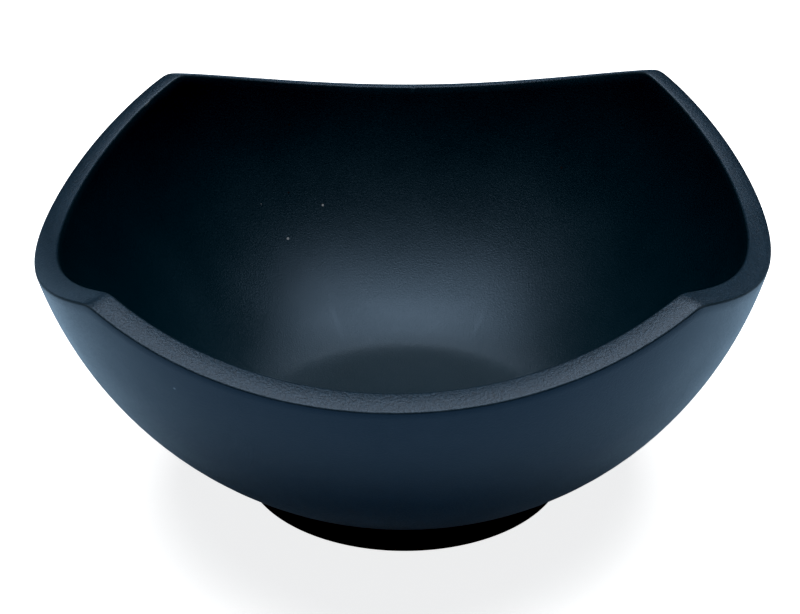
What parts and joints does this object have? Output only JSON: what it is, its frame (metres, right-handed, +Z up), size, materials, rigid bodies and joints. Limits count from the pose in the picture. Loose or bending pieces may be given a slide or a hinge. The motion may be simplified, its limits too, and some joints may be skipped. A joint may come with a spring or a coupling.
{
  "type": "hair color bowl",
  "caption": "Soft thick-walled hair color mixing bowl with a scalloped rim rising to points, on a round foot with a non-slip ring.",
  "frame": {"origin": "centre of the circle that the bowl rests on, under the foot", "axes": "+Z up along the bowl's axis; the rim's points lie on the diagonals between the X and Y axes, and its dips face +X, -X, +Y and -Y"},
  "size_m": [0.1426, 0.1426, 0.0669],
  "materials": {
    "bowl_silicone": "matte blue-black silicone, finely grained, brighter where it is seen edge-on",
    "foot_plastic": "matte black",
    "grip_rubber": "matte dark rubber"
  },
  "bodies": {
    "root": {"bowl_shell": "bowl_silicone", "foot": "foot_plastic", "grip_ring": "grip_rubber"}
  },
  "joints": []
}
